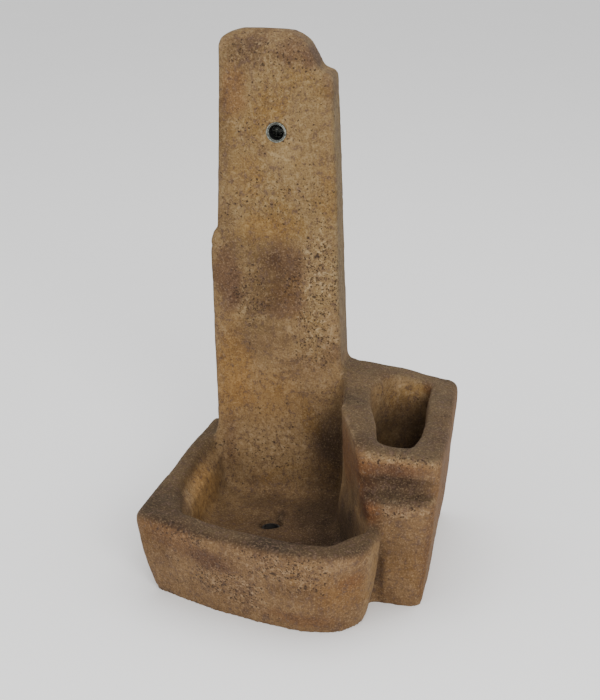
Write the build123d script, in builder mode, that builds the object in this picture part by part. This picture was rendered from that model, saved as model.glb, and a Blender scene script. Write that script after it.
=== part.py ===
from build123d import *
import os

# Overall size
OVERALL_WIDTH = 380.0
OVERALL_DEPTH = 400.0
OVERALL_HEIGHT = 700.0
LEFT_X = -OVERALL_WIDTH / 2
RIGHT_X = OVERALL_WIDTH / 2
FRONT_Y = -OVERALL_DEPTH / 2
BACK_Y = OVERALL_DEPTH / 2

# How far every cutting shape runs past the stone
OVERRUN = 30.0

# Column, a slab with a leaning face, a waist at the left and a crown that falls away both ways
COLUMN_LEFT_GAP = 53.0
COLUMN_TOP_WIDTH = 152.0
COLUMN_TOP_DEPTH = 53.0
COLUMN_FOOT_DEPTH = 73.0
COLUMN_RIGHT_FLARE = 25.0
COLUMN_WAIST_HEIGHT = 397.0
COLUMN_NECK_RISE = 33.0
COLUMN_NECK_LEAN = 5.0
COLUMN_WAIST_STEP = 10.0
COLUMN_FOOT_STEP = 10.0
COLUMN_STEP_ROUNDING = 20.0
COLUMN_EDGE_ROUNDING = 8.0
CROWN_RISE = 57.0
CROWN_ROUNDING = 10.0
CROWN_SLOPE_RUN = 26.0
CROWN_SLOPE_RISE = 22.0
CROWN_BACK_FALL = 4.5

# Crown outline: shares of the top width from the left and of the crown's rise, then roundings
CROWN_POINT_SHARES = (
    (0.00, 0.80),
    (0.19, 0.97),
    (0.42, 1.00),
    (0.54, 1.00),
    (0.75, 0.78),
    (0.865, 0.11),
    (0.99, 0.03),
)
CROWN_ROUNDING_SHARES = (1.2, 1.5, 6.0, 6.0, 3.0, 1.2, 1.2)

# Basin, outside: rim in plan, as shares of half the width and half the depth, from the back left
# corner round the front to the block, and how far the base draws in under it
RIM_HEIGHT = 120.0
RIM_BAND = 16.0
RIM_ROUNDING = 8.0
RIM_SHARES = ((-0.905, 1.0), (-1.0037, -0.63), (-0.5, -0.84), (0.158, -1.0), (0.558, -1.0), (0.668, -0.3))
RIM_CORNER_ROUNDING = 14.0
RIM_BEND_ROUNDING = 60.0
RIM_FRONT_ROUNDING = 60.0
RIM_NOSE_ROUNDING_SHARE = 0.735
BASE_SIDE_INSET = 16.0
BASE_FRONT_INSET = 18.0
BASE_NOSE_INSET = 8.0

# Basin, inside: hollow in plan, its draft and its floor
FLOOR_HEIGHT = 40.0
FLOOR_ROUNDING = 14.0
WALL_THICKNESS = 33.0
WALL_DRAFT = 12.0
HOLLOW_ROUNDING = 5.0
HOLLOW_CORNER_ROUNDING = 20.0
HOLLOW_BELLY_SHARES = (-0.7895, 0)
HOLLOW_CORNER_SHARES = (-0.716, -0.56)
HOLLOW_BEND_SHARES = (-0.5, -0.665)
HOLLOW_FRONT_SHARE = 0.158
HOLLOW_NOSE_SHARE = 0.421
HOLLOW_NOSE_ROUNDING_SHARE = 0.6
HOLLOW_SIDE_WALL = 13.9
HOLLOW_SIDE_ROUNDING = 25.0
HOLLOW_TURN_RUN = 97.0
HOLLOW_TURN_STEP = 17.0
HOLLOW_TURN_ROUNDING = 30.0

# Planter block: two steps, a sloping top and flared sides
BLOCK_TOP_HEIGHT = 229.0
BLOCK_BAND_DROP = 39.0
BLOCK_TOP_DROP = 20.0
BLOCK_TOP_FRONT_DROP = 6.0
BLOCK_TOP_ROUNDING = 9.0
BLOCK_CORNER_ROUNDING = 16.0
BLOCK_BACK_INSET = 1.0
BLOCK_SIDE_FLARE = 14.0
BLOCK_ROOT_LAP = 20.0
BLOCK_FACE_LEAN = 12.0
STEP_SETBACK = 112.0
STEP_LEAN = 23.0
STEP_SKEW = 5.0
STEP_HEIGHT = 148.0
STEP_ROUNDING = 10.0
LEDGE_RISE = 16.0
UPPER_SETBACK = 116.0

# Pocket of the planter block: its back and belly are shares of the way from the bend of the
# block's left face to its right side, its nose of the way from that face's front end
POCKET_DEPTH = 150.0
POCKET_DRAFT = 8.0
POCKET_MOUTH_ROUNDING = 5.0
POCKET_FLOOR_ROUNDING = 5.0
POCKET_BACK_LEFT_SHARE = 0.235
POCKET_BELLY_SHARES = (0.217, 0.259)
POCKET_RIGHT_SHARE = 0.79
POCKET_NOSE_SHARES = (0.22, 0.62)
POCKET_BACK_WALL = 36.0
POCKET_FRONT_WALL = 26.0
POCKET_BELLY_LENGTH_SHARE = 0.46
POCKET_LEFT_ROUNDING = 26.0
POCKET_CORNER_ROUNDING = 14.0
POCKET_NOSE_ROUNDING_SHARE = 0.5

# Where the column grows out of the basin floor and the block
COLUMN_ROOT_WIDTH = 30.0
COLUMN_ROOT_DROP = 13.0
CORNER_LAP = 1.0
COVE_RADIUS = 13.0
COVE_ROOT = 5.0
COVE_END_BEVEL = 5.0
QUARTER_TURN = 90

# Water way: nominal half inch pipe, threads drawn as plain cylinders
PIPE_RADIUS = 10.65
PIPE_BORE_RADIUS = 8.0
THREAD_BORE_RADIUS = 9.3155
THREAD_LENGTH = 15.0
THREAD_GAP = 0.05
THREAD_RUN_OUT = 1.5
COLLAR_RADIUS = 13.9
COLLAR_LENGTH = 15.5
ELBOW_REACH = 28.0
ELBOW_RADIUS = 12.2
ELBOW_BEND = 12.5
SPOUT_INSET = 77.0
SPOUT_DROP = 134.0
SPOUT_PROUD = 1.0
INLET_HEIGHT = 78.0

# Drain
DRAIN_SHARES = (-0.247, 0.16)
DRAIN_SLEEVE_RADIUS = 12.5
DRAIN_BORE_RADIUS = 10.5
DRAIN_LIP = 7.0
DRAIN_MOUTH_RADIUS = 13.5

# Reinforcement, and the gap round everything that is cast in
CAST_GAP = 0.1
TIE_GAP = 0.1
COVER = 16.0
UPRIGHT_RADIUS = 4.0
UPRIGHT_INSET = 24.0
UPRIGHT_FOOT = 26.0
UPRIGHT_HEAD_GAP = 80.0
RUNG_RADIUS = 2.5
RUNG_COUNT = 5
RUNG_FIRST_HEIGHT = 130.0
RUNG_HEAD_GAP = 98.0
RUNG_OVERHANG = 8.0
FLOOR_BAR_RADIUS = 3.0
LONG_BAR_SHARES = (-0.275, 0.275, 0.825)
LONG_BAR_LEFT_GAP = 55.0
LONG_BAR_RIGHT_GAP = 40.0
CROSS_BAR_SHARES = (-0.526, 0.105, 0.737)
CROSS_BAR_FRONT_GAP = 128.0
CROSS_BAR_BACK_GAP = 25.0
HOOP_RADIUS = 2.5
HOOP_BEND = 22.0
HOOP_TAIL = 18.0
BASIN_HOOP_HEIGHTS = {"lower": 62.0, "upper": 98.0}
PLANTER_HOOP_HEIGHTS = {"lower": 125.0, "upper": 182.0}
MIDDLE_SHARE = 0.5
PLANTER_HOOP_FRONT_SHARE = 0.4
PLANTER_HOOP_BACK_SHARE = 0.45


def front_of_column(height):
    """The y of the column's leaning front face at a height."""
    lean = (COLUMN_FOOT_DEPTH - COLUMN_TOP_DEPTH) * height / OVERALL_HEIGHT
    return BACK_Y - COLUMN_FOOT_DEPTH + lean


def column_left_at(height):
    """The x of the column's left side at a height under its waist."""
    return column_foot_left_x - COLUMN_FOOT_STEP * height / COLUMN_WAIST_HEIGHT


def column_right_at(height):
    """The x of the column's right side at a height under its crown."""
    return between(column_foot_right_x, column_shoulder_x, height / column_shoulder_z)


def between(start, end, share):
    """The point, or number, that lies a share of the way from start to end."""
    if isinstance(start, tuple):
        return tuple(a + (b - a) * share for a, b in zip(start, end))
    return start + (end - start) * share


def in_plan(shares):
    """The x and y that are shares of half the width and half the depth."""
    return shares[0] * RIGHT_X, shares[1] * BACK_Y


def outline_at(plane, points, radii):
    """A closed outline with rounded corners on a plane."""
    with BuildSketch(plane) as shape:
        with BuildLine():
            FilletPolyline(*points, radius=radii, close=True)
        make_face()
    return shape.sketch


# Column outline, seen from the front
os.makedirs("parts", exist_ok=True)
face_y_at_rim = front_of_column(RIM_HEIGHT)
column_left_x = LEFT_X + COLUMN_LEFT_GAP
column_right_x = column_left_x + COLUMN_TOP_WIDTH
column_waist_x = column_left_x - COLUMN_NECK_LEAN - COLUMN_WAIST_STEP
column_foot_left_x = column_waist_x + COLUMN_FOOT_STEP
column_foot_right_x = column_right_x + COLUMN_RIGHT_FLARE
column_root_top = BLOCK_TOP_HEIGHT - COLUMN_ROOT_DROP
crown_base = OVERALL_HEIGHT - CROWN_RISE
crown_points = [
    (column_left_x + across * COLUMN_TOP_WIDTH, crown_base + up * CROWN_RISE)
    for across, up in CROWN_POINT_SHARES
]
column_shoulder_x, column_shoulder_z = crown_points[-1]
column_points = [
    (column_foot_right_x, 0),
    (column_foot_left_x, 0),
    (column_waist_x, COLUMN_WAIST_HEIGHT),
    (column_left_x - COLUMN_NECK_LEAN, COLUMN_WAIST_HEIGHT + COLUMN_NECK_RISE),
] + crown_points
column_radii = [0, 0, COLUMN_STEP_ROUNDING, COLUMN_STEP_ROUNDING] + [
    share * CROWN_ROUNDING for share in CROWN_ROUNDING_SHARES
]

with BuildPart() as column:
    with BuildSketch(Plane.XZ.offset(-BACK_Y)):
        with BuildLine():
            FilletPolyline(*column_points, radius=column_radii, close=True)
        make_face()
    extrude(amount=COLUMN_FOOT_DEPTH)
    face_lean = (0, OVERALL_HEIGHT, COLUMN_TOP_DEPTH - COLUMN_FOOT_DEPTH)
    split(bisect_by=Plane(origin=(0, front_of_column(0), 0), z_dir=face_lean))
    ridge_y = front_of_column(OVERALL_HEIGHT) + CROWN_SLOPE_RUN
    slope_dir = (0, CROWN_SLOPE_RISE, -CROWN_SLOPE_RUN)
    split(bisect_by=Plane(origin=(0, ridge_y, OVERALL_HEIGHT), z_dir=slope_dir))
    fall_dir = (0, -CROWN_BACK_FALL, ridge_y - BACK_Y)
    split(bisect_by=Plane(origin=(0, ridge_y, OVERALL_HEIGHT), z_dir=fall_dir))
    column_front = column.faces().sort_by(Axis.Y)[0]
    face_edges = column_front.edges().sort_by(Axis.Z)[1:]
    fillet(face_edges, radius=COLUMN_EDGE_ROUNDING)

with BuildPart() as column_root:
    with BuildSketch(Plane.XZ.offset(-BACK_Y)):
        with BuildLine():
            Polyline(
                (column_foot_right_x, 0),
                (column_right_at(column_root_top), column_root_top),
                (column_right_at(column_root_top) - COLUMN_ROOT_WIDTH, column_root_top),
                (column_foot_right_x - COLUMN_ROOT_WIDTH, 0),
                close=True,
            )
        make_face()
    extrude(amount=COLUMN_FOOT_DEPTH)
    split(bisect_by=Plane(origin=(0, front_of_column(0), 0), z_dir=face_lean))

# Cove in the corner between the column's right side and the block's top
cove_x = column_right_at(BLOCK_TOP_HEIGHT)
cove_front_y = front_of_column(BLOCK_TOP_HEIGHT) + COLUMN_EDGE_ROUNDING
with BuildPart() as column_cove:
    with BuildSketch(Plane.XZ.offset(-BACK_Y)):
        with BuildLine():
            sweep_in = JernArc((cove_x, BLOCK_TOP_HEIGHT + COVE_RADIUS), (0, -1), COVE_RADIUS, QUARTER_TURN)
            Polyline(
                sweep_in @ 1,
                (cove_x + COVE_RADIUS, BLOCK_TOP_HEIGHT - COVE_ROOT),
                (cove_x - COVE_ROOT, BLOCK_TOP_HEIGHT - COVE_ROOT),
                (cove_x - COVE_ROOT, BLOCK_TOP_HEIGHT + COVE_RADIUS),
                sweep_in @ 0,
            )
        make_face()
    extrude(amount=BACK_Y - cove_front_y)
    cove_end = column_cove.faces().sort_by(Axis.Y)[0]
    chamfer(cove_end.edges().filter_by(GeomType.CIRCLE), length=COVE_END_BEVEL)

# Basin outlines in plan, from the back left corner round the front to the block
rim_points = [in_plan(shares) for shares in RIM_SHARES]
rim_points.append((rim_points[-1][0], BACK_Y))
base_insets = [
    (BASE_SIDE_INSET, 0),
    (BASE_SIDE_INSET, BASE_FRONT_INSET),
    (BASE_SIDE_INSET, BASE_FRONT_INSET),
    (0, BASE_FRONT_INSET),
    (-BASE_NOSE_INSET, BASE_FRONT_INSET),
    (-BASE_NOSE_INSET, BASE_FRONT_INSET),
    (-BASE_NOSE_INSET, 0),
]
base_points = [(x + in_x, y + in_y) for (x, y), (in_x, in_y) in zip(rim_points, base_insets)]
rim_nose_rounding = (rim_points[4][0] - rim_points[3][0]) * RIM_NOSE_ROUNDING_SHARE
rim_radii = [0, RIM_CORNER_ROUNDING, RIM_BEND_ROUNDING, RIM_FRONT_ROUNDING, rim_nose_rounding, 0, 0]

# Where the hollow turns from the front wall's thin right end to the block's left face
block_band_height = BLOCK_TOP_HEIGHT - BLOCK_BAND_DROP
step_front_y = FRONT_Y + STEP_SETBACK
hollow_side_y = step_front_y - STEP_LEAN * RIM_HEIGHT / block_band_height
nose_point, join_point = rim_points[4], rim_points[5]
side_share = (hollow_side_y - nose_point[1]) / (join_point[1] - nose_point[1])
hollow_side_x = between(nose_point, join_point, side_share)[0] - HOLLOW_SIDE_WALL


def hollow_turn(height):
    """Where the block's left face bends, between the step and the column."""
    return column_right_at(height) + HOLLOW_TURN_STEP, front_of_column(height) - HOLLOW_TURN_RUN


# Hollow of the basin in plan, from inside the column's left round the front to its right corner
def hollow_outline(height, draft):
    """The hollow's outline at a height, drawn in by a draft."""
    over_rim = max(height - RIM_HEIGHT, 0) / (BLOCK_TOP_HEIGHT - RIM_HEIGHT)
    turn_x, turn_y = hollow_turn(height)
    face_y = front_of_column(height)
    left_x = column_left_at(height)
    right_x = column_right_at(height) - CORNER_LAP
    belly = in_plan(HOLLOW_BELLY_SHARES)
    corner = in_plan(HOLLOW_CORNER_SHARES)
    bend = in_plan(HOLLOW_BEND_SHARES)
    front_x = HOLLOW_FRONT_SHARE * RIGHT_X
    front_y = FRONT_Y + WALL_THICKNESS + draft
    nose_x = HOLLOW_NOSE_SHARE * RIGHT_X - draft
    nose_rounding = (nose_x - front_x) * HOLLOW_NOSE_ROUNDING_SHARE
    points = [
        (left_x + OVERRUN, face_y + OVERRUN),
        (left_x + draft, face_y),
        (belly[0] + draft, belly[1]),
        (corner[0] + draft, corner[1] + draft),
        (bend[0] + draft, bend[1] + draft),
        (front_x, front_y),
        (nose_x, front_y),
        (hollow_side_x - draft - BLOCK_FACE_LEAN * over_rim, hollow_side_y + draft),
        (turn_x - draft, turn_y),
        (right_x, face_y),
        (right_x - OVERRUN, face_y + OVERRUN),
    ]
    bends = [RIM_FRONT_ROUNDING, HOLLOW_CORNER_ROUNDING, RIM_BEND_ROUNDING, RIM_BEND_ROUNDING]
    radii = [0, 0] + bends + [nose_rounding, HOLLOW_SIDE_ROUNDING, HOLLOW_TURN_ROUNDING, 0, 0]
    return outline_at(Plane.XY.offset(height), points, radii)


# Block outlines in plan: the lower step stands forward of the upper one
def block_outline(plane, front_y, skew, side_x):
    """The block's outline on a plane, for where its front and its right side stand."""
    points = [
        (block_root_x, BACK_Y),
        (block_root_x, front_y + skew),
        (side_x, front_y - skew),
        (side_x - BLOCK_BACK_INSET, BACK_Y),
    ]
    return outline_at(plane, points, [0, 0, BLOCK_CORNER_ROUNDING, BLOCK_CORNER_ROUNDING])


block_root_x = column_foot_right_x - BLOCK_ROOT_LAP
upper_front_y = FRONT_Y + UPPER_SETBACK
base_side_x = RIGHT_X - BLOCK_SIDE_FLARE
band_plane = Plane.XY.offset(block_band_height)
crest_plane = Plane.XY.offset(BLOCK_TOP_HEIGHT + OVERRUN)

with BuildPart() as block_step:
    loft(
        sections=[
            block_outline(Plane.XY, step_front_y, STEP_SKEW, base_side_x),
            block_outline(band_plane, step_front_y - STEP_LEAN, 0, RIGHT_X),
        ],
        ruled=True,
    )
    ledge_front_y = step_front_y - STEP_LEAN * STEP_HEIGHT / block_band_height
    ledge_dir = (0, LEDGE_RISE, ledge_front_y - upper_front_y)
    split(bisect_by=Plane(origin=(0, ledge_front_y, STEP_HEIGHT), z_dir=ledge_dir))

# Pocket of the block in plan, from the back left round the front
pocket_back_y = BACK_Y - POCKET_BACK_WALL
pocket_front_y = upper_front_y + POCKET_FRONT_WALL
pocket_belly = (pocket_back_y - pocket_front_y) * POCKET_BELLY_LENGTH_SHARE
block_bend_x = hollow_turn(BLOCK_TOP_HEIGHT)[0]
block_front_x = hollow_side_x - BLOCK_FACE_LEAN
pocket_back_x = between(block_bend_x, RIGHT_X, POCKET_BACK_LEFT_SHARE)
pocket_belly_xs = [between(block_bend_x, RIGHT_X, share) for share in POCKET_BELLY_SHARES]
pocket_nose_xs = [between(block_front_x, RIGHT_X, share) for share in POCKET_NOSE_SHARES]
pocket_right_x = between(block_bend_x, RIGHT_X, POCKET_RIGHT_SHARE)
pocket_nose_rounding = (pocket_nose_xs[1] - pocket_nose_xs[0]) * POCKET_NOSE_ROUNDING_SHARE
pocket_mouth_points = [
    (pocket_back_x, pocket_back_y),
    (pocket_belly_xs[0], pocket_back_y - pocket_belly / 2),
    (pocket_belly_xs[1], pocket_back_y - pocket_belly),
    (pocket_nose_xs[0], pocket_front_y),
    (pocket_nose_xs[1], pocket_front_y),
    (pocket_right_x, pocket_front_y + pocket_belly / 2),
    (pocket_right_x, pocket_back_y),
]
pocket_insets = [
    (POCKET_DRAFT, -POCKET_DRAFT),
    (POCKET_DRAFT, 0),
    (POCKET_DRAFT, 0),
    (POCKET_DRAFT, POCKET_DRAFT),
    (-POCKET_DRAFT, POCKET_DRAFT),
    (-POCKET_DRAFT, 0),
    (-POCKET_DRAFT, -POCKET_DRAFT),
]
pocket_floor_points = [
    (x + in_x, y + in_y) for (x, y), (in_x, in_y) in zip(pocket_mouth_points, pocket_insets)
]
pocket_radii = [
    POCKET_LEFT_ROUNDING,
    RIM_BEND_ROUNDING,
    RIM_BEND_ROUNDING,
    pocket_nose_rounding,
    pocket_nose_rounding,
    RIM_BEND_ROUNDING,
    POCKET_CORNER_ROUNDING,
]
pocket_floor_radii = [radius - POCKET_DRAFT for radius in pocket_radii]

# Water way: two elbows joined by the riser, cast into the column behind its face
spout_x = column_left_x + SPOUT_INSET
spout_height = OVERALL_HEIGHT - SPOUT_DROP
riser_y = front_of_column(spout_height) - SPOUT_PROUD + ELBOW_REACH
spout_centre = (spout_x, riser_y, spout_height)
inlet_centre = (spout_x, riser_y, INLET_HEIGHT)


def leg_plane(centre, direction, reach):
    """The plane at the end of an elbow's leg, facing back to the elbow's centre."""
    origin = Vector(*centre) + Vector(*direction) * reach
    return Plane(origin=origin, z_dir=Vector(*direction) * -1)


def elbow(centre, legs, grow, bored):
    """An elbow with a collar on each of its two legs, grown by a gap, bored or solid."""
    with BuildPart() as fitting:
        with BuildLine():
            ends = [Vector(*centre) + Vector(*leg) * ELBOW_REACH for leg in legs]
            FilletPolyline(ends[0], centre, ends[1], radius=ELBOW_BEND)
        with BuildSketch(leg_plane(centre, legs[0], ELBOW_REACH)):
            Circle(ELBOW_RADIUS + grow)
        sweep()
        for leg in legs:
            with BuildSketch(leg_plane(centre, leg, ELBOW_REACH)):
                Circle(COLLAR_RADIUS + grow)
            extrude(amount=COLLAR_LENGTH + grow)
        if bored:
            with BuildLine():
                FilletPolyline(ends[0], centre, ends[1], radius=ELBOW_BEND)
            with BuildSketch(leg_plane(centre, legs[0], ELBOW_REACH)):
                Circle(PIPE_BORE_RADIUS)
            sweep(mode=Mode.SUBTRACT)
            for leg in legs:
                with BuildSketch(leg_plane(centre, leg, ELBOW_REACH)):
                    Circle(THREAD_BORE_RADIUS)
                extrude(amount=THREAD_LENGTH, mode=Mode.SUBTRACT)
    return fitting.part


forward, backward, upward, downward = (0, -1, 0), (0, 1, 0), (0, 0, 1), (0, 0, -1)

with BuildPart() as spout_elbow:
    add(elbow(spout_centre, (forward, downward), 0, True))
spout_elbow.part.label = "spout_elbow"
export_step(spout_elbow.part, "parts/spout_elbow.step")

with BuildPart() as inlet_elbow:
    add(elbow(inlet_centre, (backward, upward), 0, True))
inlet_elbow.part.label = "inlet_elbow"
export_step(inlet_elbow.part, "parts/inlet_elbow.step")

riser_foot = INLET_HEIGHT + ELBOW_REACH
riser_head = spout_height - ELBOW_REACH
with BuildPart() as riser_pipe:
    with BuildSketch(Plane.XY.offset(riser_foot + THREAD_RUN_OUT)):
        with Locations((spout_x, riser_y)):
            Circle(PIPE_RADIUS)
    extrude(amount=riser_head - riser_foot - 2 * THREAD_RUN_OUT)
    with BuildSketch(Plane.XY.offset(riser_foot - THREAD_LENGTH)):
        with Locations((spout_x, riser_y)):
            Circle(THREAD_BORE_RADIUS - THREAD_GAP)
    extrude(amount=riser_head - riser_foot + 2 * THREAD_LENGTH)
    with BuildSketch(Plane.XY.offset(riser_foot - THREAD_LENGTH)):
        with Locations((spout_x, riser_y)):
            Circle(PIPE_BORE_RADIUS)
    extrude(amount=riser_head - riser_foot + 2 * THREAD_LENGTH, mode=Mode.SUBTRACT)
riser_pipe.part.label = "riser_pipe"
export_step(riser_pipe.part, "parts/riser_pipe.step")

# Space that the water way takes in the stone, open at the column's face and at its back
with BuildPart() as water_way_space:
    add(elbow(spout_centre, (forward, downward), CAST_GAP, False))
    add(elbow(inlet_centre, (backward, upward), CAST_GAP, False))
    with BuildSketch(Plane.XY.offset(riser_foot)):
        with Locations((spout_x, riser_y)):
            Circle(PIPE_RADIUS + CAST_GAP)
    extrude(amount=riser_head - riser_foot)
    for centre, leg in ((spout_centre, forward), (inlet_centre, backward)):
        with BuildSketch(leg_plane(centre, leg, ELBOW_REACH + OVERRUN)):
            Circle(COLLAR_RADIUS + CAST_GAP)
        extrude(amount=OVERRUN + CORNER_LAP)

# Drain: a sleeve through the floor, with a rough mouth in the stone over it
sleeve_top = FLOOR_HEIGHT - DRAIN_LIP
drain_place = in_plan(DRAIN_SHARES)
with BuildPart() as drain_sleeve:
    with BuildSketch():
        with Locations(drain_place):
            Circle(DRAIN_SLEEVE_RADIUS)
            Circle(DRAIN_BORE_RADIUS, mode=Mode.SUBTRACT)
    extrude(amount=sleeve_top)
drain_sleeve.part.label = "drain_sleeve"
export_step(drain_sleeve.part, "parts/drain_sleeve.step")

with BuildPart() as drain_space:
    with BuildSketch():
        with Locations(drain_place):
            Circle(DRAIN_SLEEVE_RADIUS + CAST_GAP)
    extrude(amount=sleeve_top)
    with BuildSketch(Plane.XY.offset(sleeve_top)):
        with Locations(drain_place):
            Circle(DRAIN_MOUTH_RADIUS)
    extrude(amount=DRAIN_LIP + OVERRUN)


# Reinforcement: every bar is a route with a radius, a bend and whether it closes on itself
def bar(route, radius, bend, closed):
    """A round bar along a route, with its corners bent to a radius."""
    with BuildPart() as rod:
        with BuildLine() as way:
            if closed:
                FilletPolyline(*route, radius=bend, close=True)
            elif len(route) > 2:
                FilletPolyline(*route, radius=bend)
            else:
                Line(*route)
        start = way.wire() @ 0
        with BuildSketch(Plane(origin=start, z_dir=way.wire() % 0)):
            Circle(radius)
        sweep()
    return rod.part


bars = {}
rung_y = riser_y + PIPE_RADIUS + TIE_GAP + RUNG_RADIUS
upright_y = rung_y - RUNG_RADIUS - TIE_GAP - UPRIGHT_RADIUS
upright_xs = {"left": column_left_x + UPRIGHT_INSET, "right": column_right_x - UPRIGHT_INSET}
upright_head = OVERALL_HEIGHT - UPRIGHT_HEAD_GAP
for side, bar_x in upright_xs.items():
    route = [(bar_x, upright_y, UPRIGHT_FOOT), (bar_x, upright_y, upright_head)]
    bars["column_bar_" + side] = (route, UPRIGHT_RADIUS, HOOP_BEND, False)

rung_span = upright_head - RUNG_HEAD_GAP - RUNG_FIRST_HEIGHT
for index in range(RUNG_COUNT):
    rung_z = RUNG_FIRST_HEIGHT + rung_span * index / (RUNG_COUNT - 1)
    route = [
        (upright_xs["left"] - RUNG_OVERHANG, rung_y, rung_z),
        (upright_xs["right"] + RUNG_OVERHANG, rung_y, rung_z),
    ]
    bars["column_rung_%d" % (index + 1)] = (route, RUNG_RADIUS, HOOP_BEND, False)

long_bar_z = COVER + FLOOR_BAR_RADIUS
cross_bar_z = long_bar_z + 2 * FLOOR_BAR_RADIUS + TIE_GAP
for index, share in enumerate(LONG_BAR_SHARES):
    bar_y = share * BACK_Y
    route = [
        (LEFT_X + LONG_BAR_LEFT_GAP, bar_y, long_bar_z),
        (RIGHT_X - LONG_BAR_RIGHT_GAP, bar_y, long_bar_z),
    ]
    bars["floor_long_bar_%d" % (index + 1)] = (route, FLOOR_BAR_RADIUS, HOOP_BEND, False)

for index, share in enumerate(CROSS_BAR_SHARES):
    bar_x = share * RIGHT_X
    route = [
        (bar_x, FRONT_Y + CROSS_BAR_FRONT_GAP, cross_bar_z),
        (bar_x, BACK_Y - CROSS_BAR_BACK_GAP, cross_bar_z),
    ]
    bars["floor_cross_bar_%d" % (index + 1)] = (route, FLOOR_BAR_RADIUS, HOOP_BEND, False)

# Basin hoops run down the middle of the wall, from the back left round into the block
wall_mid = WALL_THICKNESS / 2
for level, hoop_z in BASIN_HOOP_HEIGHTS.items():
    share = hoop_z / (RIM_HEIGHT - RIM_BAND)
    outside = [between(low, high, share) for low, high in zip(base_points, rim_points)]
    route = [
        (outside[0][0] + wall_mid, BACK_Y - HOOP_TAIL, hoop_z),
        (outside[1][0] + wall_mid, outside[1][1] + wall_mid, hoop_z),
        (outside[2][0] + wall_mid / 2, outside[2][1] + wall_mid, hoop_z),
        (outside[3][0], outside[3][1] + wall_mid, hoop_z),
        (outside[4][0] - wall_mid, outside[4][1] + wall_mid, hoop_z),
        (outside[5][0] - wall_mid, step_front_y + HOOP_TAIL, hoop_z),
    ]
    bars["basin_hoop_" + level] = (route, HOOP_RADIUS, HOOP_BEND, False)

# Planter hoops run round the pocket in the middle of its walls
hoop_front_y = upper_front_y + POCKET_FRONT_WALL / 2
hoop_back_y = BACK_Y - POCKET_BACK_WALL / 2
hoop_right_x = between(pocket_right_x, RIGHT_X - BLOCK_BACK_INSET, MIDDLE_SHARE)


def block_face_at(y):
    """The x of the block's left face, at rim height, at a distance back."""
    turn_x, turn_y = hollow_turn(RIM_HEIGHT)
    if y < turn_y:
        return between(hollow_side_x, turn_x, (y - hollow_side_y) / (turn_y - hollow_side_y))
    return between(turn_x, cove_x, (y - turn_y) / (face_y_at_rim - turn_y))


for level, hoop_z in PLANTER_HOOP_HEIGHTS.items():
    front_x = between(block_face_at(hoop_front_y), pocket_nose_xs[0], PLANTER_HOOP_FRONT_SHARE)
    back_x = between(block_face_at(hoop_back_y), pocket_back_x, PLANTER_HOOP_BACK_SHARE)
    route = [
        (front_x, hoop_front_y, hoop_z),
        (hoop_right_x, hoop_front_y, hoop_z),
        (hoop_right_x, hoop_back_y, hoop_z),
        (back_x, hoop_back_y, hoop_z),
    ]
    bars["planter_hoop_" + level] = (route, HOOP_RADIUS, HOOP_BEND / 2, True)

bar_spaces = []
for name, (route, radius, bend, closed) in bars.items():
    with BuildPart() as rod:
        add(bar(route, radius, bend, closed))
    rod.part.label = name
    export_step(rod.part, "parts/" + name + ".step")
    bar_spaces.append(bar(route, radius + CAST_GAP, bend, closed))

top_rise = (BLOCK_TOP_DROP / (RIGHT_X - column_foot_right_x), -BLOCK_TOP_FRONT_DROP / OVERALL_DEPTH, 1)
top_origin = (column_foot_right_x, BACK_Y, BLOCK_TOP_HEIGHT)
pocket_floor_height = BLOCK_TOP_HEIGHT - POCKET_DEPTH
rim_plane = Plane.XY.offset(RIM_HEIGHT - RIM_BAND)
rim_outline = outline_at(rim_plane, rim_points, rim_radii)
rim_hollow = hollow_outline(RIM_HEIGHT, 0)


def level_face(part, height):
    """The largest level face of a part at a height."""
    flats = part.faces().filter_by(GeomType.PLANE).filter_by(Axis.Z)
    return flats.filter_by_position(Axis.Z, height - CORNER_LAP, height + CORNER_LAP).sort_by(SortBy.AREA)[-1]


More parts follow.
